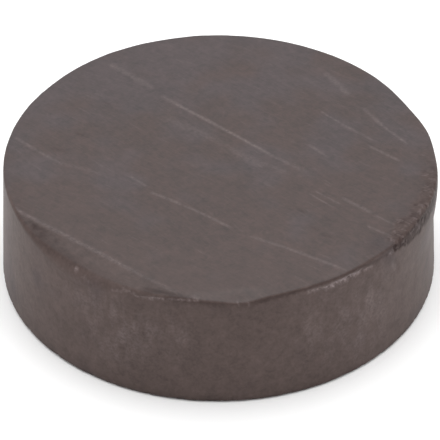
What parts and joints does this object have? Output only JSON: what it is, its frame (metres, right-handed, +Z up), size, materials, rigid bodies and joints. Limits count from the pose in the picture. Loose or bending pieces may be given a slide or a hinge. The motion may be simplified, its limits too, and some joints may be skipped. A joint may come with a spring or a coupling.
{
  "type": "disc magnet",
  "caption": "Plain round ferrite magnet with flat ground pole faces, a straight matte side and worn rims, for holding light things to steel or fitting in a pocket.",
  "frame": {"origin": "centre of the lower pole face, on the surface the disc lies on", "axes": "+Z up along the disc's axis, which is its pressing direction; -Y towards the side that has the low facet at its left and the crumbled band at its right"},
  "size_m": [0.0178, 0.0178, 0.0052],
  "materials": {
    "ferrite": "matte, ground pole faces and an as-fired side"
  },
  "bodies": {
    "root": {"ferrite_disc": "ferrite"}
  },
  "joints": []
}
